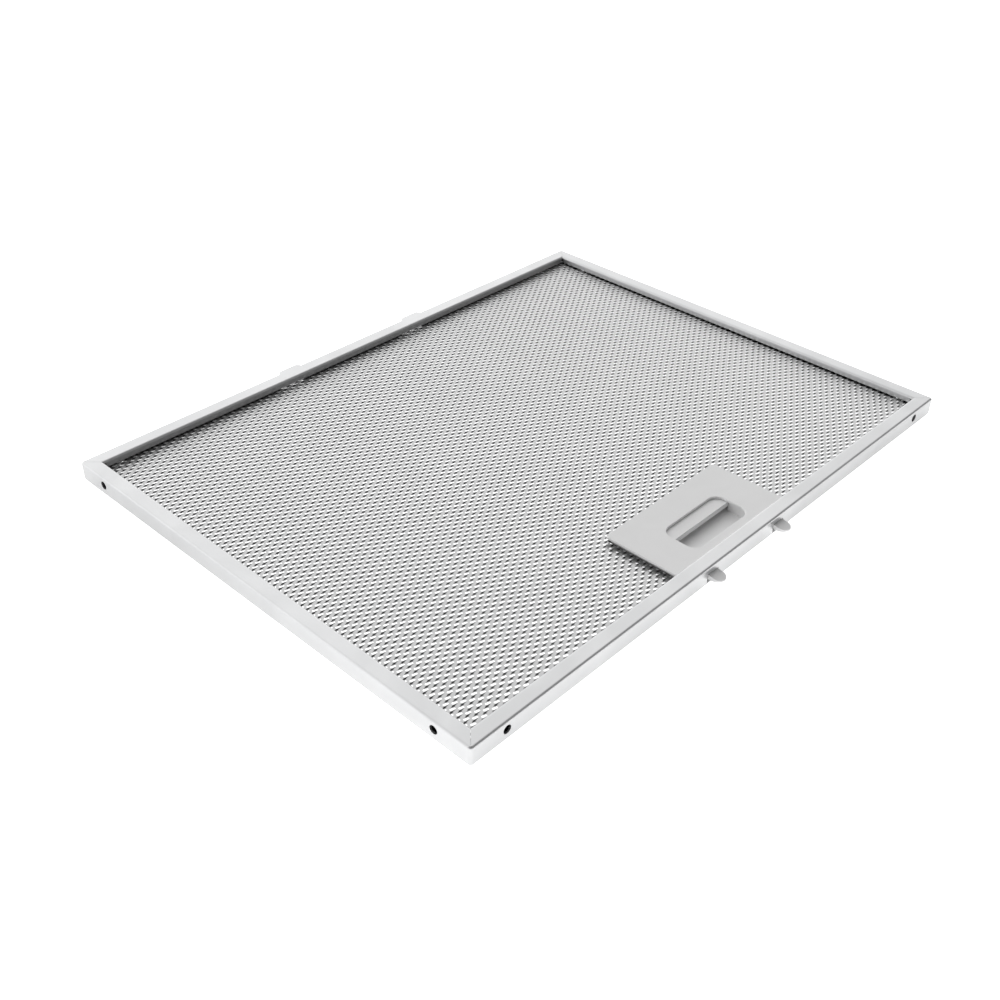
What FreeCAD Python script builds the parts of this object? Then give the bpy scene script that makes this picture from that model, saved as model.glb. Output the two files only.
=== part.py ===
"""Cooker hood grease filter: folded aluminium frame, expanded mesh pack and a sprung finger latch.

Millimetres, +Z up. The filter lies on its back with the handle face up. X runs along the long
sides, the latch is on the -Y side and the fixed tabs are on the +Y side. The origin is the middle
of the underside of the whole part, latch tongues and tabs included.
"""
import FreeCAD, Part
import math
import os

V = FreeCAD.Vector

# Frame: one strip of aluminium sheet, folded to a channel and bent round
frame_length = 320.0
frame_depth = 240.0
frame_height = 9.3
sheet = 0.8
top_flange = 7.2
back_flange = 7.2
lip_drop = 3.2
corner_radius = 1.6
top_bend = 1.0
back_bend = 1.5
lip_bend = 1.2
mitre_gap = 0.08
mitre_root = 1.3
closing_gap = 0.5
lip_corner_gap = 1.1

# Drain holes near the ends of every wall
drain_diameter = 3.8
drain_from_corner = 17.8
drain_height = 5.5

# Fixed tabs, lanced out of the rear wall and left level with the flange
tab_width = 12.4
tab_chamfer = 1.0
tab_reach = 1.5
tab_pitch = 81.6
tab_offset = -3.0
tab_window = 2.6

# Slots in the front wall for the tongues
slot_low = 1.6

# Expanded mesh on both faces
mesh_row_pitch = 3.37
mesh_rise = 0.75
mesh_sheet = 0.42
mesh_crest = 0.72
gap_length = 34.0
gap_width = 1.5
gaps_per_row = 5
front_gap_rows = 6
back_gap_rows = 14

# Crimped foil layers between the two meshes
foil_layers = 4
foil_sheet = 0.14
foil_pitch = 16.0

# Fits
layer_clearance = 0.06
seat_clearance = 0.1
edge_clearance = 0.9
slide_clearance = 0.3
wall_clearance = 0.5
slot_clearance = 0.5
housing_clearance = 0.6
pin_clearance = 0.05

# Handle cover, with the finger opening
cover_width = 75.4
cover_rear = 43.4
cover_thickness = 1.0
cover_corner = 1.5
cover_edge = 0.25
opening_width = 38.0
opening_depth = 17.8
opening_rear = 28.7
opening_corner = 5.0

# Handle housing, from the frame's front face inwards
housing_width = 70.0
housing_wall = 1.2
housing_floor = 2.4
back_plate = 0.75
pocket_half_width = 19.9
pocket_wall = 0.8
pocket_front = 10.4
rail_height = 0.8
pin_diameter = 2.6
pin_length = 3.6
boss_size = 5.2
boss_inset = 4.0
boss_front = 8.6
boss_rear = 36.0

# Latch slider: finger bar, arms and tongues in one moulding
latch_travel = 5.5
tongue_pitch = 46.9
tongue_offset = 1.1
tongue_width = 6.4
tongue_height = 2.1
tongue_reach = 5.8
tongue_slope = 0.85
tongue_nose = 0.7
ramp_length = 4.4
arm_width = 4.8
bar_front = 22.4
bar_depth = 9.1
bar_thickness = 2.45
pad_width = 6.0
pad_depth = 3.0

# Return springs
spring_diameter = 4.0
spring_wire = 0.5
spring_turns = 5
spring_sides = 6
spring_pitch = 20.0
spring_stack = 3.5
spigot_diameter = 2.2
spigot_length = 1.4

# Places that follow from the sizes above
front_face = -frame_depth / 2
rear_face = frame_depth / 2
centring = (tongue_reach - tab_reach) / 2
flange_under = frame_height - sheet
lip_edge = frame_height - lip_drop
cover_top = flange_under - seat_clearance
cover_under = cover_top - cover_thickness
pack_low = sheet + seat_clearance
pack_high = lip_edge - seat_clearance
mesh_height = mesh_rise + mesh_sheet
housing_rear = bar_front + bar_depth + latch_travel + spring_stack + housing_wall
housing_front = front_face + sheet + wall_clearance
housing_inner_front = housing_front + housing_wall
housing_inner_rear = front_face + housing_rear - housing_wall
housing_top = cover_under - seat_clearance
back_plate_low = sheet - back_plate
rail_top = housing_floor + rail_height
arm_low = rail_top + slide_clearance
tongue_high = arm_low + tongue_height
slider_top = cover_under - slide_clearance
bar_low = slider_top - bar_thickness
bar_edge = front_face + bar_front
bar_back = bar_edge + bar_depth
arm_front = housing_inner_front + slide_clearance
channel_half = tongue_width / 2 + slot_clearance
spring_height = (housing_floor + cover_under) / 2
boss_side = housing_width / 2 - boss_inset


def block(x0, x1, y0, y1, z0, z1):
    """Box between two corners."""
    return Part.makeBox(x1 - x0, y1 - y0, z1 - z0, V(x0, y0, z0))


def centred_block(length, depth, z0, z1):
    """Box centred on the frame's middle."""
    return block(-length / 2, length / 2, -depth / 2, depth / 2, z0, z1)


def rod(diameter, length, foot, direction):
    """Round bar or hole cutter from its foot along a direction."""
    return Part.makeCylinder(diameter / 2, length, foot, direction)


def level_edges(shape, z):
    """Edges of a shape that lie at one height."""
    return [edge for edge in shape.Edges if all(abs(v.Z - z) < 1e-6 for v in edge.Vertexes)]


def upright_edges(shape):
    """Straight edges of a shape that stand upright."""
    edges = []
    for edge in shape.Edges:
        low, high = edge.Vertexes[0].Point, edge.Vertexes[-1].Point
        if math.hypot(high.x - low.x, high.y - low.y) < 1e-6 and abs(high.z - low.z) > 1e-6:
            edges.append(edge)
    return edges


def fuse_all(first, others):
    """One solid from a body and what is moulded or folded onto it."""
    return first.fuse(others).removeSplitter()


def rounded_tray(length, depth, z0, z1, corner, low_radius):
    """Block with round upright corners and a round lower rim."""
    tray = centred_block(length, depth, z0, z1)
    tray = tray.makeFillet(corner, upright_edges(tray))
    return tray.makeFillet(low_radius, level_edges(tray, z0))


def rounded_plate(width, y0, y1, z0, z1, corner, corners_y=None):
    """Flat plate with round corners, all of them or only those at one Y."""
    plate = block(-width / 2, width / 2, y0, y1, z0, z1)
    edges = upright_edges(plate)
    if corners_y is not None:
        edges = [edge for edge in edges if abs(edge.Vertexes[0].Y - corners_y) < 1e-6]
    return plate.makeFillet(corner, edges)


def corner_slit(sign_x, sign_y, inner, outer, width, z0, z1):
    """Thin cut on the mitre line of one corner, between two distances from the corner."""
    slit = block(inner * math.sqrt(2), outer * math.sqrt(2), -width / 2, width / 2, z0, z1)
    slit.rotate(V(0, 0, 0), V(0, 0, 1), math.degrees(math.atan2(-sign_y, -sign_x)))
    slit.translate(V(sign_x * frame_length / 2, sign_y * frame_depth / 2, 0))
    return slit


def frame_channel():
    """Folded channel of the frame, closed all round, before the cuts."""
    outer = rounded_tray(frame_length, frame_depth, 0, frame_height, corner_radius, back_bend)
    outer = outer.makeFillet(top_bend, level_edges(outer, frame_height))
    inner = rounded_tray(
        frame_length - 2 * sheet,
        frame_depth - 2 * sheet,
        sheet,
        flange_under,
        corner_radius - sheet,
        back_bend - sheet,
    )
    window_length = frame_length - 2 * top_flange
    window_depth = frame_depth - 2 * top_flange
    shell = outer.cut(inner)
    shell = shell.cut(centred_block(window_length, window_depth, frame_height / 2, 2 * frame_height))
    back_length = frame_length - 2 * back_flange
    back_depth = frame_depth - 2 * back_flange
    shell = shell.cut(centred_block(back_length, back_depth, -frame_height, frame_height / 2))
    lip = centred_block(window_length + 2 * sheet, window_depth + 2 * sheet, lip_edge, frame_height)
    lip = lip.cut(centred_block(window_length, window_depth, -frame_height, 2 * frame_height))
    channel = fuse_all(shell, [lip])
    rim = [
        edge
        for edge in level_edges(channel, frame_height)
        if abs(edge.Vertexes[0].X) < window_length / 2 + sheet / 2
    ]
    return channel.makeFillet(lip_bend, rim)


def corner_cuts():
    """Mitre lines of both flanges, gaps between the lips and the joint that closes the strip."""
    cuts = []
    lip_corner = top_flange - sheet
    for sign_x in (-1, 1):
        for sign_y in (-1, 1):
            closing = sign_x > 0 and sign_y > 0
            reach = top_flange + lip_corner_gap
            start = -corner_radius if closing else mitre_root
            top = (lip_edge - sheet, 2 * frame_height)
            cuts.append(corner_slit(sign_x, sign_y, start, reach, mitre_gap, *top))
            reach = back_flange + sheet
            cuts.append(corner_slit(sign_x, sign_y, mitre_root, reach, mitre_gap, -sheet, 2 * sheet))
            gap = lip_corner_gap + sheet
            x = sign_x * (frame_length / 2 - lip_corner - gap / 2)
            y = sign_y * (frame_depth / 2 - lip_corner - gap / 2)
            notch = block(-gap / 2, gap / 2, -gap / 2, gap / 2, lip_edge - sheet, frame_height - lip_bend)
            notch.translate(V(x, y, 0))
            cuts.append(notch)
            if closing:
                reach = corner_radius + sheet
                cuts.append(corner_slit(sign_x, sign_y, -sheet, reach, closing_gap, -sheet, flange_under))
    return cuts


def drain_holes():
    """Hole cutters for two drain holes in each wall, near the corners."""
    holes = []
    depth = 3 * sheet
    for end in (-1, 1):
        along_x = end * (frame_length / 2 - drain_from_corner)
        along_y = end * (frame_depth / 2 - drain_from_corner)
        for side in (-1, 1):
            y = side * (frame_depth / 2 + sheet)
            x = side * (frame_length / 2 + sheet)
            holes.append(rod(drain_diameter, depth, V(along_x, y, drain_height), V(0, -side, 0)))
            holes.append(rod(drain_diameter, depth, V(x, along_y, drain_height), V(-side, 0, 0)))
    return holes


def tab_places():
    """Middles of the two rear tabs along X."""
    return [tab_offset + side * tab_pitch / 2 for side in (-1, 1)]


def rear_tab(x):
    """One flat tab with chamfered ends, level with the top flange."""
    root = rear_face - 2 * top_bend
    tip = rear_face + tab_reach
    points = [
        V(x - tab_width / 2, root, flange_under),
        V(x + tab_width / 2, root, flange_under),
        V(x + tab_width / 2, rear_face, flange_under),
        V(x + tab_width / 2 - tab_chamfer, tip, flange_under),
        V(x - tab_width / 2 + tab_chamfer, tip, flange_under),
        V(x - tab_width / 2, rear_face, flange_under),
    ]
    outline = Part.Face(Part.makePolygon(points + points[:1]))
    return outline.extrude(V(0, 0, sheet))


def tongue_slot(x, y0, y1, z0):
    """Cutter for the slot that one latch tongue comes out of."""
    high = tongue_high + slide_clearance
    return block(x - channel_half, x + channel_half, y0, y1, z0, high)


def arm_places():
    """Middles of the latch slider's two arms along X."""
    return [side * tongue_pitch / 2 for side in (-1, 1)]


def tongue_places():
    """Middles of the two latch tongues along X, a little to one side of their arms."""
    return [x + tongue_offset for x in arm_places()]


def make_frame():
    """Folded frame with its tabs, slots, drain holes and mitred corners."""
    frame = fuse_all(frame_channel(), [rear_tab(x) for x in tab_places()])
    cuts = corner_cuts() + drain_holes()
    for x in tab_places():
        half = tab_width / 2
        cuts.append(
            block(
                x - half,
                x + half,
                rear_face - 2 * sheet,
                rear_face + sheet,
                flange_under - tab_window,
                flange_under,
            )
        )
    for x in tongue_places():
        cuts.append(tongue_slot(x, front_face - sheet, front_face + 2 * sheet, slot_low))
    half = cover_width / 2 + housing_clearance
    lip_back = front_face + top_flange + sheet
    lip_front = lip_back - 3 * sheet
    cuts.append(block(-half, half, lip_front, lip_back, lip_edge - sheet, flange_under))
    return frame.cut(cuts)


def handle_cut_out():
    """Space in the mesh pack that the handle housing passes through."""
    half = housing_width / 2 + housing_clearance
    rear = front_face + housing_rear + housing_clearance
    return block(-half, half, front_face, rear, 0, frame_height)


def folded_sheet(crest_points, span, thickness):
    """Sheet of one thickness that follows a folded line in the YZ plane, extruded along X."""
    under = [V(p.x, p.y, p.z - thickness) for p in reversed(crest_points)]
    outline = Part.makePolygon(crest_points + under + crest_points[:1])
    return Part.Face(outline).extrude(V(span, 0, 0))


def expanded_mesh(z_low, gap_rows):
    """Expanded mesh: a row of raised strands at each pitch, with staggered diamond gaps."""
    length = frame_length - 2 * (sheet + edge_clearance)
    depth = frame_depth - 2 * (sheet + edge_clearance)
    rows = int(depth / mesh_row_pitch)
    row_pitch = depth / rows
    low = z_low + mesh_sheet
    points = []
    for row in range(rows):
        y = -depth / 2 + row * row_pitch
        points.append(V(-length / 2, y, low))
        points.append(V(-length / 2, y + mesh_crest * row_pitch, low + mesh_rise))
    points.append(V(-length / 2, depth / 2, low))
    mesh = folded_sheet(points, length, mesh_sheet)
    pitch = length / gaps_per_row
    flank = mesh_crest / 2
    gaps = []
    for number, row in enumerate(range(1, rows - 1, gap_rows)):
        stagger = pitch / 4 if number % 2 else -pitch / 4
        y = -depth / 2 + (row + flank) * row_pitch
        for place in range(gaps_per_row):
            x = -length / 2 + (place + 0.5) * pitch + stagger
            gaps.append(strand_gap(x, y, z_low))
    return mesh.cut([handle_cut_out()] + gaps)


def strand_gap(x, y, z_low):
    """Cutter for one long diamond gap between strands."""
    base = z_low - mesh_height
    corners = [
        V(x - gap_length / 2, y, base),
        V(x, y - gap_width / 2, base),
        V(x + gap_length / 2, y, base),
        V(x, y + gap_width / 2, base),
    ]
    return Part.Face(Part.makePolygon(corners + corners[:1])).extrude(V(0, 0, 3 * mesh_height))


def foil_layer(number):
    """One crimped foil layer; the crimps of neighbouring layers cross."""
    crossed = number % 2 == 1
    length = frame_length - 2 * (sheet + edge_clearance)
    depth = frame_depth - 2 * (sheet + edge_clearance)
    run, span = (length, depth) if crossed else (depth, length)
    room = pack_high - pack_low - 2 * mesh_height - (foil_layers + 1) * layer_clearance
    height = room / foil_layers
    z_low = pack_low + mesh_height + layer_clearance + number * (height + layer_clearance)
    folds = 2 * int(run / foil_pitch)
    points = []
    for fold in range(folds + 1):
        lift = height - foil_sheet if fold % 2 else 0
        points.append(V(-span / 2, -run / 2 + fold * run / folds, z_low + foil_sheet + lift))
    foil = folded_sheet(points, span, foil_sheet)
    if crossed:
        foil.rotate(V(0, 0, 0), V(0, 0, 1), 90)
    return foil.cut(handle_cut_out())


def pin_places():
    """Middles of the cover's four pins."""
    places = []
    for side in (-1, 1):
        for distance in (boss_front, boss_rear):
            places.append((side * boss_side, front_face + distance))
    return places


def make_cover():
    """Handle cover with its finger opening and four six-sided press pins."""
    front = housing_front
    rear = front_face + cover_rear
    plate = rounded_plate(cover_width, front, rear, cover_under, cover_top, cover_corner, rear)
    opening_y = front_face + opening_rear
    opening = rounded_plate(
        opening_width,
        opening_y - opening_depth,
        opening_y,
        0,
        2 * frame_height,
        opening_corner,
    )
    plate = plate.cut(opening)
    plate = plate.makeChamfer(cover_edge, level_edges(plate, cover_top))
    pins = []
    for x, y in pin_places():
        root = V(x, y, cover_under + cover_edge)
        section = Part.makePolygon(hexagon(root, V(0, 0, 1), pin_diameter / 2))
        pins.append(Part.Face(section).extrude(V(0, 0, -pin_length - cover_edge)))
    return fuse_all(plate, pins)


def spring_places():
    """Middles of the two return springs along X."""
    return [side * spring_pitch / 2 for side in (-1, 1)]


def make_housing():
    """Tray behind the cover: back plate, walls, finger pocket, rails, bosses and spring seats."""
    half = housing_width / 2
    rear = front_face + housing_rear
    plate_front = front_face + back_flange + slot_clearance
    plate_rear = front_face + cover_rear
    solids = [
        block(-half, half, housing_front, rear, pack_low, housing_floor),
        block(-half, half, housing_front, housing_inner_front, pack_low, housing_top),
        block(-half, half, housing_inner_rear, rear, pack_low, housing_top),
    ]
    span = (plate_front, plate_rear, back_plate_low, pack_low)
    back = rounded_plate(cover_width, *span, cover_corner, plate_rear)
    pocket_near = front_face + pocket_front
    pocket_far = bar_edge - slide_clearance
    pocket_outer = pocket_half_width + pocket_wall
    solids.append(
        block(-pocket_outer, pocket_outer, pocket_near - pocket_wall, pocket_near, pack_low, housing_top)
    )
    for side in (-1, 1):
        wall = sorted((side * half, side * (half - housing_wall)))
        solids.append(block(*wall, housing_front, rear, pack_low, housing_top))
        inner = sorted((side * pocket_half_width, side * pocket_outer))
        solids.append(block(*inner, pocket_near - pocket_wall, pocket_far, pack_low, housing_top))
        guide = tongue_pitch / 2 + abs(tongue_offset) + channel_half
        outer = sorted((side * guide, side * (guide + pocket_wall)))
        solids.append(block(*outer, housing_front, bar_back, pack_low, housing_top))
        rail = sorted((side * pocket_outer, side * guide))
        solids.append(block(*rail, housing_inner_front, bar_back, pack_low, rail_top))
    for x, y in pin_places():
        side = boss_size / 2
        solids.append(block(x - side, x + side, y - side, y + side, pack_low, housing_top))
    for x in spring_places():
        seat = V(x, housing_inner_rear + housing_wall / 2, spring_height)
        solids.append(rod(spigot_diameter, spigot_length + housing_wall / 2, seat, V(0, -1, 0)))
    housing = fuse_all(back, solids)
    cuts = []
    for x, y in pin_places():
        bore = pin_diameter + 2 * pin_clearance
        cuts.append(rod(bore, pin_length + seat_clearance, V(x, y, housing_top), V(0, 0, -1)))
    for x in tongue_places():
        inside = housing_inner_front + sheet
        cuts.append(tongue_slot(x, housing_front - sheet, inside, arm_low - slide_clearance))
    return housing.cut(cuts)


def latch_tongue(x):
    """Tongue with a round nose, sloping down to it above and ramped below."""
    half = tongue_width / 2
    tip = front_face - tongue_reach
    straight = tip + half
    root = arm_front + slide_clearance
    nose = Part.Arc(V(x - half, straight, arm_low), V(x, tip, arm_low), V(x + half, straight, arm_low))
    sides = Part.makePolygon(
        [
            V(x + half, straight, arm_low),
            V(x + half, root, arm_low),
            V(x - half, root, arm_low),
            V(x - half, straight, arm_low),
        ]
    )
    tongue = Part.Face(Part.Wire([nose.toShape()] + sides.Edges)).extrude(V(0, 0, tongue_height))
    nose_high = tongue_high - tongue_slope
    ramp = Part.makePolygon(
        [
            V(x - half, tip, arm_low),
            V(x - half, tip + ramp_length, arm_low),
            V(x - half, tip, nose_high - tongue_nose),
            V(x - half, tip, arm_low),
        ]
    )
    slope = Part.makePolygon(
        [
            V(x - half, tip, nose_high),
            V(x - half, front_face, tongue_high),
            V(x - half, tip, tongue_high),
            V(x - half, tip, nose_high),
        ]
    )
    width = V(tongue_width, 0, 0)
    return tongue.cut([Part.Face(ramp).extrude(width), Part.Face(slope).extrude(width)])


def make_slider():
    """Finger bar, two arms and two tongues, with pads and spigots for the springs."""
    outer = (tongue_pitch + tongue_width) / 2
    bar = block(-outer, outer, bar_edge, bar_back, bar_low, slider_top)
    solids = []
    for x in arm_places():
        half = arm_width / 2
        solids.append(block(x - half, x + half, arm_front, bar_back, arm_low, slider_top))
    for x in tongue_places():
        solids.append(latch_tongue(x))
    pad_low = housing_floor + slide_clearance
    for x in spring_places():
        half = pad_width / 2
        pad_front = bar_back - pad_depth
        solids.append(block(x - half, x + half, pad_front, bar_back, pad_low, slider_top))
        seat = V(x, bar_back - pad_depth / 2, spring_height)
        solids.append(rod(spigot_diameter, spigot_length + pad_depth / 2, seat, V(0, 1, 0)))
    return fuse_all(bar, solids)


def make_spring(x):
    """Coil spring of six-sided wire between the slider's pad and the housing's rear wall."""
    length = housing_inner_rear - bar_back - spring_wire - 2 * seat_clearance
    radius = (spring_diameter - spring_wire) / 2
    steps = spring_turns * spring_sides
    points = []
    for step in range(steps + 1):
        turn = 2 * math.pi * step / spring_sides
        points.append(V(radius * math.cos(turn), length * step / steps, radius * math.sin(turn)))
    path = Part.makePolygon(points)
    heading = points[1] - points[0]
    section = Part.makePolygon(hexagon(points[0], heading, spring_wire / 2))
    coil = path.makePipeShell([section], True, False, 1)
    coil.translate(V(x, bar_back + spring_wire / 2 + seat_clearance, spring_height))
    return coil


def hexagon(centre, normal, radius):
    """Corners of a closed hexagon across a direction."""
    turn = FreeCAD.Rotation(V(0, 0, 1), normal)
    corners = []
    for corner in range(7):
        angle = math.pi * corner / 3
        corners.append(centre + turn.multVec(V(radius * math.cos(angle), radius * math.sin(angle), 0)))
    return corners


def make_parts():
    """Every piece of the filter by its name, about the frame's middle."""
    parts = {"frame": make_frame()}
    parts["front_mesh"] = expanded_mesh(pack_high - mesh_height, front_gap_rows)
    parts["back_mesh"] = expanded_mesh(pack_low, back_gap_rows)
    for number in range(foil_layers):
        parts[f"foil_layer_{number + 1}"] = foil_layer(number)
    parts["handle_cover"] = make_cover()
    parts["handle_housing"] = make_housing()
    parts["latch_slider"] = make_slider()
    for name, x in zip(("left", "right"), spring_places()):
        parts[f"latch_spring_{name}"] = make_spring(x)
    return parts


os.makedirs("parts", exist_ok=True)
for node, shape in make_parts().items():
    shape.translate(V(0, centring, 0))
    shape.exportStep(f"parts/{node}.step")
    print(f"{node}: {len(shape.Solids)} solid, {shape.Volume / 1000:.2f} cm3, valid {shape.isValid()}")
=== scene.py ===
"""Looks of a cooker hood grease filter: expanded mesh, satin frame, grey latch, light and camera."""

import logging
import math
from collections.abc import Callable
from dataclasses import dataclass, field
from enum import Enum

import bpy
from mathutils import Matrix, Vector


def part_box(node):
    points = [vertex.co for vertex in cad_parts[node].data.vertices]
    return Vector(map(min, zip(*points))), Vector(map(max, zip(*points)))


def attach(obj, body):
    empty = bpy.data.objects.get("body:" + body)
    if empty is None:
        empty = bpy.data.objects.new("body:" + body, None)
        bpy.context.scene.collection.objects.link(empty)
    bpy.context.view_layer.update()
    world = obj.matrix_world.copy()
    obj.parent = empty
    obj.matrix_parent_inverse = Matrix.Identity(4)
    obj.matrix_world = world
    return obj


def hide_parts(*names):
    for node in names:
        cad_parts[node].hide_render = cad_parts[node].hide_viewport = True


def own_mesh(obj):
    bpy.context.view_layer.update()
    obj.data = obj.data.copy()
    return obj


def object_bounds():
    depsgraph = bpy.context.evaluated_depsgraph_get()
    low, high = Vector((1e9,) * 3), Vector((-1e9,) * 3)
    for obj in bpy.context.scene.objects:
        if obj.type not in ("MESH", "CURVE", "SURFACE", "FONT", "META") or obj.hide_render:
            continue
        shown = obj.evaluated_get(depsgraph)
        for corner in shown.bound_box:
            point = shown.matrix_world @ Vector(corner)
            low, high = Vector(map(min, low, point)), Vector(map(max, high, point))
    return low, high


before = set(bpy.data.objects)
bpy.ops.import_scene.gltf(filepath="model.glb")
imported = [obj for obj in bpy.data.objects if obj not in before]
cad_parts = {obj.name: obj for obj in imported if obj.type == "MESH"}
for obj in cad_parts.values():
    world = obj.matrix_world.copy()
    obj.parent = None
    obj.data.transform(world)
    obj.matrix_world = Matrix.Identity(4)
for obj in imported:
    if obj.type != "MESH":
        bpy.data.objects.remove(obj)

CAD_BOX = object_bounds()
MM = 0.001
WHITE = (1.0, 1.0, 1.0, 1.0)
LOG = logging.getLogger("grease_filter")

# Cell of the expanded mesh, which its strands and its finish share
CELL_LENGTH = 5.35 * MM
CELL_WIDTH = 3.367 * MM

# Triangle with equal sides in a circle of radius 1
TRIANGLE_SIDES = 3
TRIANGLE_WIDTH = math.sqrt(3.0)
TRIANGLE_HEIGHT = 1.5
TRIANGLE_TOP = 0.5

Colour = tuple[float, float, float, float]
Socket = bpy.types.NodeSocket


class Body(Enum):
    """The record's bodies."""

    FILTER = "filter"
    LATCH = "latch"


class Slot(Enum):
    """The record's material slots."""

    FRAME = "frame_aluminium"
    MESH = "mesh_aluminium"
    FOIL = "foil_aluminium"
    PLASTIC = "grey_plastic"
    SPRING = "spring_steel"


class Facing(Enum):
    """The side of the filter that a mesh sheet looks to."""

    FRONT = 1
    BACK = -1


class Ease(Enum):
    """How a mapped value leaves one end of its range and reaches the other."""

    STRAIGHT = "LINEAR"
    SOFT = "SMOOTHSTEP"


def grey(level: float) -> Colour:
    """Make a neutral colour.

    Args:
        level: Its linear level.

    Returns:
        The colour.
    """
    return (level, level, level, 1.0)


def start_alone() -> None:
    """Leave edit mode and deselect every object."""
    if bpy.context.object and bpy.context.object.mode != "OBJECT":
        bpy.ops.object.mode_set(mode="OBJECT")
    bpy.ops.object.select_all(action="DESELECT")


def pick(piece: bpy.types.Object) -> None:
    """Select one piece alone and make it active.

    Args:
        piece: The object to work on.
    """
    start_alone()
    piece.select_set(True)
    bpy.context.view_layer.objects.active = piece


def apply_modifiers(piece: bpy.types.Object) -> None:
    """Apply every modifier of a piece, in order.

    Args:
        piece: The object whose modifiers become mesh.
    """
    pick(piece)
    for name in [modifier.name for modifier in piece.modifiers]:
        bpy.ops.object.modifier_apply(modifier=name)


def apply_place(piece: bpy.types.Object) -> None:
    """Move a piece's place, turn and scale into its mesh.

    Args:
        piece: The object that then sits at the origin.
    """
    pick(piece)
    bpy.ops.object.transform_apply(location=True, rotation=True, scale=True)


def close_and_smooth(piece: bpy.types.Object, sides: int, bend: float) -> None:
    """Close a piece's open ends, turn its faces outwards and soften its bends.

    Args:
        piece: The piece to finish.
        sides: How many sides an open end has.
        bend: The sharpest bend that is shaded smooth.
    """
    pick(piece)
    bpy.ops.object.mode_set(mode="EDIT")
    bpy.ops.mesh.select_all(action="SELECT")
    bpy.ops.mesh.fill_holes(sides=sides)
    bpy.ops.mesh.select_all(action="SELECT")
    bpy.ops.mesh.normals_make_consistent(inside=False)
    bpy.ops.object.mode_set(mode="OBJECT")
    bpy.ops.object.shade_smooth_by_angle(angle=bend)


@dataclass
class NodeSheet:
    """A node tree that is filled from the left to the right."""

    tree: bpy.types.NodeTree

    def add(self, kind: str, sources: dict[str | int, object] | None = None,
            **settings: object) -> bpy.types.Node:
        """Add a node, set it and join its inputs.

        Args:
            kind: The node's type name.
            sources: Sockets or constants by input name or number.
            settings: Attributes of the node itself.

        Returns:
            The new node.
        """
        node = self.tree.nodes.new(kind)
        for name, value in settings.items():
            setattr(node, name, value)
        for name, value in (sources or {}).items():
            if isinstance(value, Socket):
                self.join(value, node, name)
            else:
                node.inputs[name].default_value = value
        return node

    def join(self, source: Socket, node: bpy.types.Node, name: str | int) -> None:
        """Join a socket to an input of a node.

        Args:
            source: The socket that gives the value.
            node: The node that takes it.
            name: The input's name or number.
        """
        self.tree.links.new(source, node.inputs[name])

    def number(self, operation: str, *values: Socket | float) -> Socket:
        """Work a number out from others.

        Args:
            operation: The kind of sum.
            values: The numbers, in order.

        Returns:
            The result's socket.
        """
        return self.add("ShaderNodeMath", dict(enumerate(values)), operation=operation).outputs[0]

    def vector(self, operation: str, *values: Socket | Vector) -> Socket:
        """Work a vector out from others.

        Args:
            operation: The kind of sum.
            values: The vectors, in order.

        Returns:
            The result's socket.
        """
        return self.add("ShaderNodeVectorMath", dict(enumerate(values)), operation=operation).outputs[0]

    def reach(self, place: Socket, along: Vector) -> Socket:
        """Measure how far a place reaches along a vector.

        Args:
            place: The coordinates.
            along: The vector, whose length is the measure's scale.

        Returns:
            The dot product's socket.
        """
        node = self.add("ShaderNodeVectorMath", {0: place, 1: along}, operation="DOT_PRODUCT")
        return node.outputs["Value"]

    def blend(self, factor: Socket, low: Colour, high: Colour) -> Socket:
        """Mix two colours by a mask.

        Args:
            factor: The mask, from 0 to 1.
            low: The colour where the mask is 0.
            high: The colour where the mask is 1.

        Returns:
            The mixed colour's socket.
        """
        mix = self.add("ShaderNodeMix", {0: factor, 6: low, 7: high}, data_type="RGBA")
        return mix.outputs[2]

    def span(self, value: Socket, low: float, high: float, start: float = 0.0, end: float = 1.0,
             ease: Ease = Ease.STRAIGHT) -> Socket:
        """Map one range of a value on to another, held at both ends.

        Args:
            value: The value to map.
            low: The result at the start.
            high: The result at the end.
            start: Where the value's range starts.
            end: Where the value's range ends.
            ease: How the result leaves and reaches its ends.

        Returns:
            The mapped value's socket.
        """
        ends = {0: value, 1: start, 2: end, 3: low, 4: high}
        return self.add("ShaderNodeMapRange", ends, interpolation_type=ease.value).outputs[0]

    def bump(self, height: Socket, distance: float, under: Socket | None = None) -> Socket:
        """Raise a surface by a mask.

        Args:
            height: The mask, from 0 to 1.
            distance: How far the surface is raised where the mask is 1.
            under: The normal of a bump that lies under this one.

        Returns:
            The new normal's socket.
        """
        sources = {"Height": height, "Strength": 1.0, "Distance": distance}
        if under is not None:
            sources["Normal"] = under
        return self.add("ShaderNodeBump", sources).outputs[0]


def start_surface(name: str) -> tuple[bpy.types.Material, NodeSheet, bpy.types.Node, Socket]:
    """Start a material that is worked out from object coordinates.

    Args:
        name: The material's name.

    Returns:
        The material, its sheet, its shader and its object coordinates.
    """
    made = bpy.data.materials.new(name)
    made.use_nodes = True
    sheet = NodeSheet(made.node_tree)
    place = sheet.add("ShaderNodeTexCoord").outputs["Object"]
    return made, sheet, made.node_tree.nodes["Principled BSDF"], place


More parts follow.
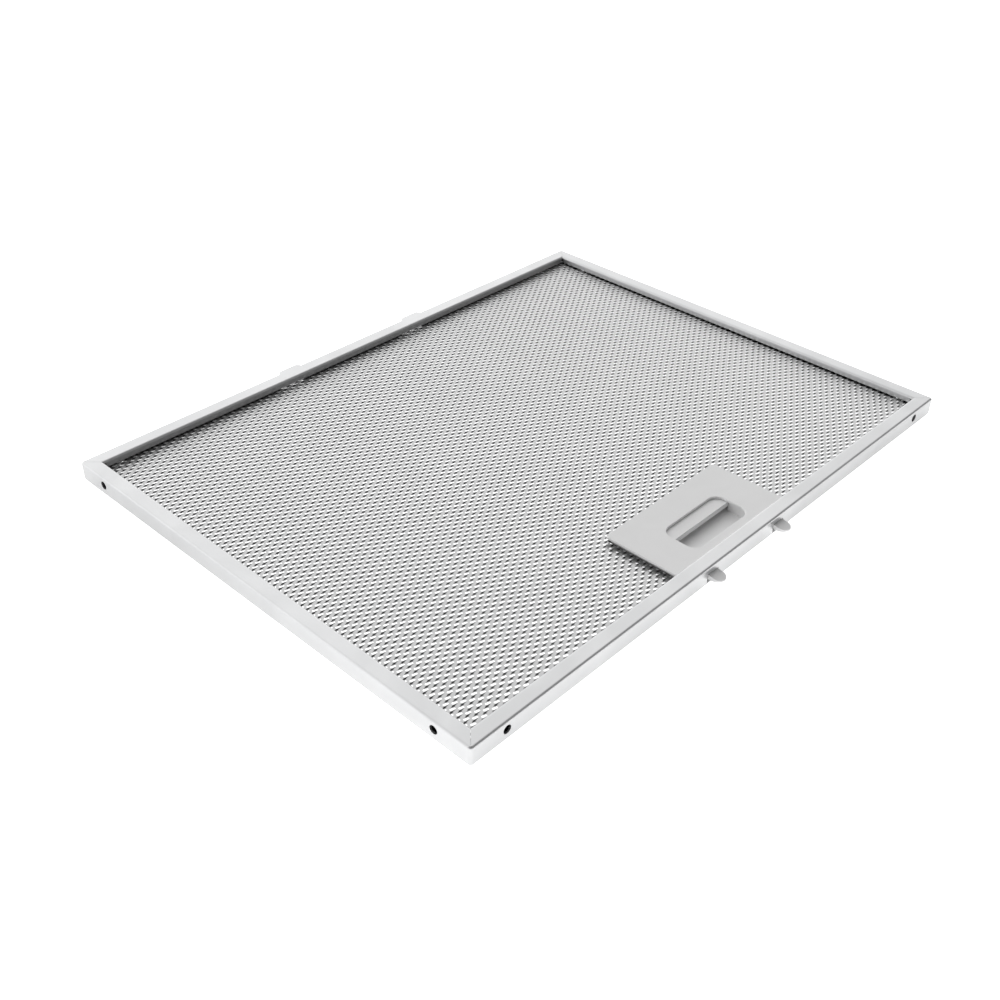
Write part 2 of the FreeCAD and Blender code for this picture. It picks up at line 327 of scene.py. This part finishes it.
@dataclass
class SurfaceGroups:
    """Shader node groups that several finishes share."""

    grain_detail: float = 3.0
    grain_roughness: float = 0.6
    film_detail: float = 4.0
    film_roughness: float = 0.55
    film_warp: float = 0.8
    film_start: float = 0.3
    film_full: float = 0.7
    grain: bpy.types.NodeTree = field(init=False)
    handling: bpy.types.NodeTree = field(init=False)

    def __post_init__(self) -> None:
        """Build each group once."""
        self.grain = self._grain()
        self.handling = self._handling()

    @staticmethod
    def _open(name: str, inputs: dict[str, str]) -> tuple[NodeSheet, bpy.types.Node, bpy.types.Node]:
        """Open an empty group that gives a mask.

        Args:
            name: The group's name.
            inputs: Socket types by input name.

        Returns:
            The group's sheet, its input node and its output node.
        """
        tree = bpy.data.node_groups.new(name, "ShaderNodeTree")
        for label, kind in inputs.items():
            tree.interface.new_socket(label, in_out="INPUT", socket_type=kind)
        tree.interface.new_socket("Mask", in_out="OUTPUT", socket_type="NodeSocketFloat")
        sheet = NodeSheet(tree)
        return sheet, sheet.add("NodeGroupInput"), sheet.add("NodeGroupOutput")

    def _grain(self) -> bpy.types.NodeTree:
        """Fine rolling grain: short streaks along the first axis of the vector.

        Returns:
            The group, with a mask from 0 to 1.
        """
        inputs = {"Vector": "NodeSocketVector", "Scale": "NodeSocketFloat", "Stretch": "NodeSocketFloat"}
        sheet, start, end = self._open("rolled_grain", inputs)
        squeeze = sheet.number("DIVIDE", 1.0, start.outputs["Stretch"])
        factor = sheet.add("ShaderNodeCombineXYZ", {0: squeeze, 1: 1.0, 2: 1.0}).outputs[0]
        drawn = sheet.vector("MULTIPLY", start.outputs["Vector"], factor)
        noise = sheet.add(
            "ShaderNodeTexNoise",
            {"Vector": drawn, "Scale": start.outputs["Scale"], "Detail": self.grain_detail,
             "Roughness": self.grain_roughness},
        )
        sheet.join(noise.outputs[0], end, "Mask")
        return sheet.tree

    def _handling(self) -> bpy.types.NodeTree:
        """Soft cloudy film and faint smears from handling and washing.

        Returns:
            The group, with a soft mask from 0 to 1.
        """
        inputs = {"Vector": "NodeSocketVector", "Scale": "NodeSocketFloat"}
        sheet, start, end = self._open("handling_film", inputs)
        cloud = sheet.add(
            "ShaderNodeTexNoise",
            {"Vector": start.outputs["Vector"], "Scale": start.outputs["Scale"],
             "Detail": self.film_detail, "Roughness": self.film_roughness, "Distortion": self.film_warp},
        )
        soft = sheet.span(cloud.outputs[0], 0.0, 1.0, self.film_start, self.film_full, Ease.SOFT)
        sheet.join(soft, end, "Mask")
        return sheet.tree


@dataclass(frozen=True)
class MetalFinish:
    """A bare metal surface with grain and a thin uneven film."""

    name: str
    bright: Colour
    dull: Colour
    gloss: float
    matt: float
    grain_scale: float
    grain_stretch: float
    grain_height: float
    film_scale: float
    along_strip: bool = False

    def material(self, groups: SurfaceGroups, half_size: Vector, centre: Vector) -> bpy.types.Material:
        """Build the material.

        Args:
            groups: The shared node groups.
            half_size: Half the frame's length and depth, for the turn of the grain at the mitres.
            centre: The frame's centre in plan.

        Returns:
            The finished material.
        """
        made, sheet, shader, place = start_surface(self.name)
        lie = self._strip_vector(sheet, place, half_size, centre) if self.along_strip else place
        grain = sheet.add(
            "ShaderNodeGroup",
            {"Vector": lie, "Scale": self.grain_scale, "Stretch": self.grain_stretch},
            node_tree=groups.grain,
        ).outputs[0]
        film = sheet.add(
            "ShaderNodeGroup", {"Vector": place, "Scale": self.film_scale}, node_tree=groups.handling,
        ).outputs[0]
        sheet.join(sheet.blend(film, self.dull, self.bright), shader, "Base Color")
        rough = sheet.span(sheet.number("MULTIPLY", grain, film), self.matt, self.gloss)
        sheet.join(rough, shader, "Roughness")
        sheet.join(sheet.bump(grain, self.grain_height), shader, "Normal")
        shader.inputs["Metallic"].default_value = 1.0
        return made

    @staticmethod
    def _strip_vector(sheet: NodeSheet, place: Socket, half_size: Vector, centre: Vector) -> Socket:
        """Turn the coordinates so that their first axis runs along each side of the frame.

        Args:
            sheet: The material's sheet.
            place: Object coordinates.
            half_size: Half the frame's length and depth.
            centre: The frame's centre in plan.

        Returns:
            The turned coordinates.
        """
        moved = sheet.vector("SUBTRACT", place, centre)
        room = sheet.vector("SUBTRACT", half_size, sheet.vector("ABSOLUTE", moved))
        rooms = sheet.add("ShaderNodeSeparateXYZ", {0: room}).outputs
        end_side = sheet.number("LESS_THAN", rooms[0], rooms[1])
        axes = sheet.add("ShaderNodeSeparateXYZ", {0: moved}).outputs
        turned = sheet.add("ShaderNodeCombineXYZ", {0: axes[1], 1: axes[0], 2: axes[2]}).outputs[0]
        mix = sheet.add("ShaderNodeMix", {0: end_side, 4: moved, 5: turned}, data_type="VECTOR")
        return mix.outputs[1]


@dataclass(frozen=True)
class DomedFinish(MetalFinish):
    """Bare metal that swells into a dome at each bond of the mesh, with a painted highlight on each dome,
    painted shade on the flats between them and a painted shadow at the slit before each dome.
    """

    cell_length: float = CELL_LENGTH
    cell_width: float = CELL_WIDTH
    slant: float = 0.53
    dome_place: Vector = Vector((1.2 * MM, -33.85 * MM, 0.0))
    dome_height: float = 0.16 * MM
    # Painted highlight on the dome tops and painted shade on the flats: the tops keep the metal's full
    # tone, the flats only a share of it
    highlight_start: float = 0.12
    highlight_full: float = 0.45
    flat_painted_shade: float = 0.43
    # Painted shadow at the slit before each dome: the base colour there falls to a small share of its tone
    slit_shadow_place: Vector = Vector((-0.2 * MM, -34.7 * MM, 0.0))
    slit_shadow_start: float = 0.5
    slit_shadow_full: float = 0.85
    slit_painted_shadow: float = 0.09

    def material(self, groups: SurfaceGroups, half_size: Vector, centre: Vector) -> bpy.types.Material:
        """Build the metal, swell its surface at the bonds and paint light and shade into its colour: a
        highlight on the domes, shade between them and a shadow at the slits.

        Args:
            groups: The shared node groups.
            half_size: Half the frame's length and depth.
            centre: The frame's centre in plan.

        Returns:
            The finished material.
        """
        made = super().material(groups, half_size, centre)
        sheet = NodeSheet(made.node_tree)
        shader = made.node_tree.nodes["Principled BSDF"]
        grain_normal = shader.inputs["Normal"].links[0].from_socket
        full_tone = shader.inputs["Base Color"].links[0].from_socket
        place = sheet.add("ShaderNodeTexCoord").outputs["Object"]
        domes = self._lattice(sheet, place, self.dome_place)
        swell = sheet.span(domes, 0.0, 1.0, ease=Ease.SOFT)
        sheet.join(sheet.bump(swell, self.dome_height, grain_normal), shader, "Normal")
        # Painted shadow: darken the base colour where the slit before each dome lies
        slit_shadow_wave = self._lattice(sheet, place, self.slit_shadow_place)
        dim = sheet.span(slit_shadow_wave, self.flat_painted_shade, self.slit_painted_shadow, self.slit_shadow_start, self.slit_shadow_full)
        # Painted highlight: the dome tops rise to full tone over the painted shade of the flats and slits
        top = sheet.span(domes, 0.0, 1.0, self.highlight_start, self.highlight_full, Ease.SOFT)
        share = sheet.add("ShaderNodeMix", {0: top, 2: dim, 3: 1.0}).outputs[0]
        tone = sheet.add("ShaderNodeVectorMath", {0: full_tone, "Scale": share}, operation="SCALE")
        sheet.join(tone.outputs[0], shader, "Base Color")
        return made

    def _lattice(self, sheet: NodeSheet, place: Socket, middle: Vector) -> Socket:
        """Make a wave that peaks at every bond, from two plane waves across the slanted rows.

        Args:
            sheet: The material's sheet.
            place: Object coordinates.
            middle: One of the peaks.

        Returns:
            The wave, from -1 to 1.
        """
        moved = sheet.vector("SUBTRACT", place, middle)
        along = 2 * math.pi / self.cell_length
        across = 2 * math.pi / self.cell_width
        rising = sheet.number("COSINE", sheet.reach(moved, Vector((along, across, 0.0))))
        falling = sheet.number("COSINE", sheet.reach(moved, Vector((along, -across, 0.0))))
        return sheet.add("ShaderNodeMix", {0: self.slant, 2: falling, 3: rising}).outputs[0]


@dataclass(frozen=True)
class PlasticFinish:
    """A moulded plastic with a fine spark-eroded texture."""

    name: str
    light: Colour
    dark: Colour
    gloss: float
    matt: float
    texture_scale: float
    texture_height: float
    film_scale: float

    def material(self, groups: SurfaceGroups) -> bpy.types.Material:
        """Build the material.

        Args:
            groups: The shared node groups.

        Returns:
            The finished material.
        """
        made, sheet, shader, place = start_surface(self.name)
        texture = sheet.add(
            "ShaderNodeGroup",
            {"Vector": place, "Scale": self.texture_scale, "Stretch": 1.0},
            node_tree=groups.grain,
        ).outputs[0]
        film = sheet.add(
            "ShaderNodeGroup", {"Vector": place, "Scale": self.film_scale}, node_tree=groups.handling,
        ).outputs[0]
        sheet.join(sheet.blend(film, self.dark, self.light), shader, "Base Color")
        sheet.join(sheet.span(texture, self.gloss, self.matt), shader, "Roughness")
        sheet.join(sheet.bump(texture, self.texture_height), shader, "Normal")
        return made


SATIN_FRAME = MetalFinish(
    name="satin_aluminium", bright=(0.565, 0.568, 0.572, 1.0), dull=(0.54, 0.543, 0.547, 1.0),
    gloss=0.34, matt=0.44, grain_scale=3200.0, grain_stretch=14.0, grain_height=0.004 * MM,
    film_scale=28.0, along_strip=True,
)
# Mesh metal whose colour carries a painted highlight on the domes and painted shade between them
PAINTED_LIGHT_MESH = DomedFinish(
    name="expanded_aluminium_painted_light", bright=(0.95, 0.952, 0.955, 1.0), dull=(0.93, 0.932, 0.935, 1.0),
    gloss=0.26, matt=0.30, grain_scale=2600.0, grain_stretch=5.0, grain_height=0.01 * MM,
    film_scale=45.0,
)
# Foil coloured far darker than bare aluminium: painted shade for the deep layers seen through the mesh
SHADE_PAINTED_FOIL = MetalFinish(
    name="crimped_foil_painted_shade", bright=(0.12, 0.12, 0.125, 1.0), dull=(0.07, 0.07, 0.072, 1.0),
    gloss=0.35, matt=0.55, grain_scale=420.0, grain_stretch=2.0, grain_height=0.25 * MM,
    film_scale=160.0,
)
SPRING_WIRE = MetalFinish(
    name="spring_wire", bright=(0.62, 0.62, 0.63, 1.0), dull=(0.5, 0.5, 0.51, 1.0),
    gloss=0.22, matt=0.34, grain_scale=5200.0, grain_stretch=6.0, grain_height=0.003 * MM,
    film_scale=300.0,
)
GREY_PLASTIC = PlasticFinish(
    name="grey_moulding", light=grey(0.80), dark=grey(0.78), gloss=0.46, matt=0.62,
    texture_scale=2400.0, texture_height=0.012 * MM, film_scale=60.0,
)


@dataclass
class Finishes:
    """The materials of the filter, one for each slot."""

    by_slot: dict[Slot, bpy.types.Material]

    @classmethod
    def build(cls) -> "Finishes":
        """Make every material, with the grain turned to the frame's own size.

        Returns:
            The materials by slot.
        """
        groups = SurfaceGroups()
        low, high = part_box("frame")
        half_size = (high - low) / 2
        centre = (high + low) / 2
        metals = {
            Slot.FRAME: SATIN_FRAME,
            Slot.MESH: PAINTED_LIGHT_MESH,
            Slot.FOIL: SHADE_PAINTED_FOIL,
            Slot.SPRING: SPRING_WIRE,
        }
        made = {slot: finish.material(groups, half_size, centre) for slot, finish in metals.items()}
        made[Slot.PLASTIC] = GREY_PLASTIC.material(groups)
        return cls(made)

    def dress(self, piece: bpy.types.Object, slot: Slot) -> None:
        """Give a new piece its material and its slot.

        Args:
            piece: The piece to dress.
            slot: The record's slot.
        """
        piece.data.materials.clear()
        piece.data.materials.append(self.by_slot[slot])

    def dress_node(self, node: str, slot: Slot) -> None:
        """Give a CAD node its material.

        Args:
            node: The node's name.
            slot: The slot whose material it takes.
        """
        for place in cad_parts[node].material_slots:
            place.material = self.by_slot[slot]


@dataclass
class ExpandedMesh:
    """A sheet of raised expanded metal: zig-zag strands that meet at bonds."""

    node: str
    facing: Facing
    cell_length: float = CELL_LENGTH
    cell_width: float = CELL_WIDTH
    strand_width: float = 1.6 * MM
    strand_depth: float = 0.22 * MM
    lift: float = math.radians(8.0)
    bond_length: float = 1.5 * MM
    columns: int = 58
    courses: int = 69
    weld_gap: float = 0.002 * MM
    cover_overlap: float = 1.6 * MM
    slide: Vector = Vector((-1.96 * MM, -1.45 * MM, 0.0))
    soft_bend: float = math.radians(40.0)

    def build(self, finishes: Finishes) -> bpy.types.Object:
        """Model the sheet and let it stand for its CAD node.

        Args:
            finishes: The filter's materials.

        Returns:
            The finished sheet.
        """
        sheet = self._strand()
        self._spread(sheet)
        self._place(sheet)
        self._notch(sheet)
        close_and_smooth(sheet, TRIANGLE_SIDES, self.soft_bend)
        sheet.name = self.node + "_strands"
        finishes.dress(sheet, Slot.MESH)
        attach(sheet, Body.FILTER.value)
        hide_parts(self.node)
        return sheet

    def _strand(self) -> bpy.types.Object:
        """Model one period of a strand: flat bond, twist up, lifted bond, twist down.

        The strand is a three-sided bar. Its near edge lifts at every second bond, which opens a
        slit under it.

        Returns:
            The strand's period, open at both ends.
        """
        strand = self._section()
        run = self.cell_length / 2 - self.bond_length
        climb = self.cell_width / 2 - self.strand_width
        bond = Vector((self.bond_length, 0.0, 0.0))
        far_edge = Vector((self.cell_length / 2, self.cell_width / 2, 0.0))
        last_edge = Vector((self.cell_length, self.strand_width, 0.0))
        bpy.ops.object.mode_set(mode="EDIT")
        bpy.ops.mesh.select_all(action="SELECT")
        self._extrude(bond)
        self._extrude(Vector((run, climb, 0.0)))
        self._twist(self.lift, far_edge)
        self._extrude(bond)
        self._extrude(Vector((run, -climb, 0.0)))
        self._twist(-self.lift, last_edge)
        bpy.ops.object.mode_set(mode="OBJECT")
        return strand

    def _section(self) -> bpy.types.Object:
        """Draw the strand's section: flat on top, with its lower corner under the near edge.

        Returns:
            The section, an open outline across the strand.
        """
        start_alone()
        bpy.ops.mesh.primitive_circle_add(
            vertices=TRIANGLE_SIDES, radius=1.0, fill_type="NOTHING",
            rotation=(-math.pi / 2, 0.0, math.pi / 2),
        )
        section = bpy.context.object
        apply_place(section)
        stretch = self.strand_width / TRIANGLE_WIDTH
        squeeze = self.strand_depth / TRIANGLE_HEIGHT
        section.scale = (1.0, stretch, squeeze)
        section.location = (0.0, self.strand_width / 2, -squeeze * TRIANGLE_TOP)
        apply_place(section)
        self._pick_points(section, lambda point: point.z < -self.strand_depth / 2)
        bpy.ops.object.mode_set(mode="EDIT")
        bpy.ops.transform.translate(value=(0.0, -self.strand_width / 2, 0.0))
        bpy.ops.object.mode_set(mode="OBJECT")
        return section

    @staticmethod
    def _extrude(step: Vector) -> None:
        """Lengthen the strand by one step.

        Args:
            step: The way from its last section to the next.
        """
        bpy.ops.mesh.extrude_region_move(TRANSFORM_OT_translate={"value": step})

    @staticmethod
    def _twist(angle: float, pivot: Vector) -> None:
        """Turn the strand's last section about its far edge.

        Args:
            angle: How far the near edge is lifted.
            pivot: A point of the far edge.
        """
        bpy.ops.transform.rotate(value=angle, orient_axis="X", orient_type="GLOBAL", center_override=pivot)

    def _spread(self, sheet: bpy.types.Object) -> None:
        """Repeat the strand's period over the whole sheet.

        Args:
            sheet: The strand's period.
        """
        self._repeat(sheet, self.columns, Vector((self.cell_length, 0.0, 0.0)), welded=True)
        apply_modifiers(sheet)
        self._repeat(sheet, 2, Vector((self.cell_length / 2, self.cell_width / 2, 0.0)), welded=False)
        self._repeat(sheet, self.courses, Vector((0.0, self.cell_width, 0.0)), welded=False)
        apply_modifiers(sheet)

    def _repeat(self, sheet: bpy.types.Object, count: int, step: Vector, welded: bool) -> None:
        """Add an array of copies at a constant step.

        Args:
            sheet: The object to repeat.
            count: How many copies there are in all.
            step: The way from one copy to the next.
            welded: Whether the ends of neighbouring copies are joined.
        """
        array = sheet.modifiers.new("repeat", "ARRAY")
        array.count = count
        array.use_relative_offset = False
        array.use_constant_offset = True
        array.constant_offset_displace = step
        array.use_merge_vertices = welded
        array.merge_threshold = self.weld_gap

    def _place(self, sheet: bpy.types.Object) -> None:
        """Set the sheet by the middle of its CAD node, facing its own side.

        Args:
            sheet: The spread sheet.
        """
        low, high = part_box(self.node)
        points = [vertex.co for vertex in sheet.data.vertices]
        middle = Vector(
            (min(p[axis] for p in points) + max(p[axis] for p in points)) / 2 for axis in range(3)
        )
        turn = Matrix.Diagonal((1.0, 1.0, float(self.facing.value), 1.0))
        seat = Matrix.Translation((low + high) / 2 + self.slide)
        sheet.data.transform(seat @ turn @ Matrix.Translation(-middle))

    def _notch(self, sheet: bpy.types.Object) -> None:
        """Cut the sheet away where the latch housing passes through it.

        Args:
            sheet: The placed sheet.
        """
        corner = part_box("handle_cover")[1]
        side = corner.x - self.cover_overlap
        rear = corner.y - self.cover_overlap
        self._pick_points(sheet, lambda point: abs(point.x) < side and point.y < rear)
        bpy.ops.object.mode_set(mode="EDIT")
        bpy.ops.mesh.delete(type="VERT")
        bpy.ops.object.mode_set(mode="OBJECT")

    @staticmethod
    def _pick_points(piece: bpy.types.Object, wanted: Callable[[Vector], bool]) -> None:
        """Select some of a piece's points for the next edit.

        Args:
            piece: The piece.
            wanted: Tells whether the point at a place is selected.
        """
        pick(piece)
        bpy.ops.object.mode_set(mode="EDIT")
        bpy.ops.mesh.select_mode(type="VERT")
        bpy.ops.mesh.select_all(action="DESELECT")
        bpy.ops.object.mode_set(mode="OBJECT")
        for vertex in piece.data.vertices:
            vertex.select = wanted(vertex.co)


@dataclass
class ReturnSpring:
    """A coil spring of round wire behind the finger bar."""

    node: str
    wire: float = 0.5 * MM
    turns: int = 6
    wire_sides: int = 10
    turn_sides: int = 20
    weld_gap: float = 0.001 * MM
    soft_bend: float = math.radians(50.0)

    def build(self, finishes: Finishes) -> bpy.types.Object:
        """Model the coil in the room of its CAD node.

        Args:
            finishes: The filter's materials.

        Returns:
            The finished coil.
        """
        low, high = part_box(self.node)
        middle = (low + high) / 2
        coil = self._wind((high.x - low.x) / 2 - self.wire / 2, high.y - low.y - self.wire)
        coil.rotation_euler = (-math.pi / 2, 0.0, 0.0)
        coil.location = (middle.x, low.y + self.wire / 2, middle.z)
        apply_place(coil)
        coil.name = self.node + "_coil"
        finishes.dress(coil, Slot.SPRING)
        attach(coil, Body.FILTER.value)
        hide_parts(self.node)
        self._press(coil, low, high)
        return coil

    def _wind(self, radius: float, length: float) -> bpy.types.Object:
        """Wind the wire into an upright coil.

        Args:
            radius: The coil's radius to the middle of the wire.
            length: The coil's length between the middles of its end turns.

        Returns:
            The coil, with closed ends.
        """
        start_alone()
        bpy.ops.mesh.primitive_circle_add(
            vertices=self.wire_sides, radius=self.wire / 2, fill_type="NOTHING",
            location=(radius, 0.0, 0.0), rotation=(math.pi / 2, 0.0, 0.0),
        )
        coil = bpy.context.object
        apply_place(coil)
        screw = coil.modifiers.new("coil", "SCREW")
        screw.axis = "Z"
        screw.angle = 2 * math.pi
        screw.iterations = self.turns
        screw.screw_offset = length / self.turns
        screw.steps = self.turn_sides
        screw.render_steps = self.turn_sides
        screw.use_merge_vertices = True
        screw.merge_threshold = self.weld_gap
        apply_modifiers(coil)
        close_and_smooth(coil, self.wire_sides, self.soft_bend)
        return coil

    @staticmethod
    def _press(coil: bpy.types.Object, low: Vector, high: Vector) -> None:
        """Give the coil a mesh of its own.

        Args:
            coil: The finished coil.
            low: The spring's lowest corner; not used.
            high: The spring's highest corner; not used.
        """
        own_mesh(coil)


@dataclass
class CadPieces:
    """The pieces whose CAD shape is shown as it is, with finer materials."""

    finishes: Finishes

    def dress(self) -> int:
        """Dress the frame, the foil layers and the latch.

        Returns:
            How many nodes are dressed.
        """
        foils = [node for node in sorted(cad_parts) if node.startswith("foil_layer")]
        slots = {"frame": Slot.FRAME}
        slots.update(dict.fromkeys(foils, Slot.FOIL))
        slots.update(dict.fromkeys(("handle_cover", "handle_housing", "latch_slider"), Slot.PLASTIC))
        for node, slot in slots.items():
            self.finishes.dress_node(node, slot)
        return len(slots)


@dataclass(frozen=True)
class PhotoCamera:
    """The camera at the photograph's viewing angle."""

    azimuth: float = math.radians(-47.303)
    elevation: float = math.radians(35.631)
    roll: float = math.radians(1.341)
    distance: float = 534.25 * MM
    target: Vector = Vector((-41.213 * MM, -18.775 * MM, 0.0))
    focal_pixels: float = 1223.77
    image_pixels: float = 1000.0
    sensor: float = 36.0
    clip_start: float = 0.01
    clip_end: float = 20.0

    def build(self) -> bpy.types.Object:
        """Make the camera the scene's own.

        Returns:
            The camera.
        """
        level = math.cos(self.elevation)
        back = Vector((math.sin(self.azimuth) * level, -math.cos(self.azimuth) * level,
                       math.sin(self.elevation)))
        right = Vector((math.cos(self.azimuth), math.sin(self.azimuth), 0.0))
        up = back.cross(right)
        turned_right = math.cos(self.roll) * right + math.sin(self.roll) * up
        turned_up = math.cos(self.roll) * up - math.sin(self.roll) * right
        data = bpy.data.cameras.new("photo_camera")
        data.sensor_width = self.sensor
        data.lens = self.sensor * self.focal_pixels / self.image_pixels
        data.clip_start = self.clip_start
        data.clip_end = self.clip_end
        camera = bpy.data.objects.new("photo_camera", data)
        bpy.context.scene.collection.objects.link(camera)
        turn = Matrix((turned_right, turned_up, back)).transposed().to_4x4()
        camera.matrix_world = Matrix.Translation(self.target + back * self.distance) @ turn
        bpy.context.scene.camera = camera
        return camera


@dataclass(frozen=True)
class Studio:
    """A white floor under soft light, with a lit wall at the far side."""

    floor_size: float = 8.0
    floor_white: float = 0.95
    floor_shade: float = 0.02
    floor_roughness: float = 0.9
    mottle_scale: float = 6.0
    mottle_detail: float = 2.0
    floor_glow: float = 0.65
    floor_slope: Vector = Vector((-1.0, -2.8, 0.0))
    glow_least: float = 0.65
    glow_most: float = 1.2
    sky_bright: float = 1.5
    sky_dim: float = 0.28
    bright_side: Vector = Vector((0.08, 1.0, 0.0))
    bright_start: float = -0.3
    bright_full: float = 0.55
    wall_glow: float = 0.3
    wall_top: float = math.sin(math.radians(24.0))
    wall_full: float = math.sin(math.radians(10.0))
    ceiling_start: float = math.sin(math.radians(62.0))
    ceiling_full: float = math.sin(math.radians(80.0))
    ceiling_share: float = 0.3

    def build(self) -> bpy.types.Object:
        """Set the sky and lay the floor.

        Returns:
            The floor.
        """
        self._sky()
        self._tone()
        return self._floor()

    def _floor(self) -> bpy.types.Object:
        """Lay the pale floor under the filter.

        Returns:
            The floor.
        """
        start_alone()
        bpy.ops.mesh.primitive_plane_add(size=self.floor_size, location=(0.0, 0.0, CAD_BOX[0].z))
        floor = bpy.context.object
        floor.name = "pale_floor"
        apply_place(floor)
        made, sheet, shader, place = start_surface("pale_floor")
        mottle = {"Vector": place, "Scale": self.mottle_scale, "Detail": self.mottle_detail}
        noise = sheet.add("ShaderNodeTexNoise", mottle).outputs[0]
        tone = sheet.blend(noise, grey(self.floor_white - self.floor_shade), grey(self.floor_white))
        sheet.join(tone, shader, "Base Color")
        shader.inputs["Roughness"].default_value = self.floor_roughness
        shader.inputs["Emission Color"].default_value = WHITE
        glow = sheet.number("ADD", sheet.reach(place, self.floor_slope), self.floor_glow)
        held = sheet.add("ShaderNodeClamp", {0: glow, 1: self.glow_least, 2: self.glow_most})
        sheet.join(held.outputs[0], shader, "Emission Strength")
        floor.data.materials.append(made)
        return floor

    def _sky(self) -> None:
        """Surround the filter with a white sky: a lit wall at the far side, dim above and behind."""
        world = bpy.data.worlds.new("white_sky")
        bpy.context.scene.world = world
        world.use_nodes = True
        sheet = NodeSheet(world.node_tree)
        back = world.node_tree.nodes["Background"]
        place = sheet.add("ShaderNodeTexCoord").outputs["Generated"]
        toward = sheet.reach(place, self.bright_side.normalized())
        share = sheet.span(toward, 0.0, 1.0, self.bright_start, self.bright_full, Ease.SOFT)
        tone = sheet.span(share, self.sky_dim, self.sky_bright)
        height = sheet.add("ShaderNodeSeparateXYZ", {0: place}).outputs[2]
        wall = sheet.span(height, 0.0, 1.0, self.wall_top, self.wall_full, Ease.SOFT)
        level = sheet.number("ADD", sheet.number("MULTIPLY", wall, self.wall_glow), 1.0)
        ceiling = sheet.span(height, 1.0, self.ceiling_share, self.ceiling_start, self.ceiling_full,
                             Ease.SOFT)
        light = sheet.number("MULTIPLY", sheet.number("MULTIPLY", level, tone), ceiling)
        sheet.join(light, back, "Strength")
        back.inputs["Color"].default_value = WHITE

    @staticmethod
    def _tone() -> None:
        """Show plain display values, so that white stays white."""
        settings = bpy.context.scene.view_settings
        settings.view_transform = "Standard"
        settings.look = "None"
        settings.exposure = 0.0
        settings.gamma = 1.0


def main() -> None:
    """Build the pieces in order and report each of them."""
    logging.basicConfig(level=logging.INFO, format="%(name)s: %(message)s")
    finishes = Finishes.build()
    LOG.info("%d CAD nodes dressed", CadPieces(finishes).dress())
    pieces: list[ExpandedMesh | ReturnSpring] = [
        ExpandedMesh("front_mesh", Facing.FRONT),
        ExpandedMesh("back_mesh", Facing.BACK),
        ReturnSpring("latch_spring_left"),
        ReturnSpring("latch_spring_right"),
    ]
    for piece in pieces:
        made = piece.build(finishes)
        LOG.info("%s: %d faces", made.name, len(made.data.polygons))
    floor = Studio().build()
    LOG.info("%s laid", floor.name)
    PhotoCamera().build()


if __name__ == "__main__":
    main()
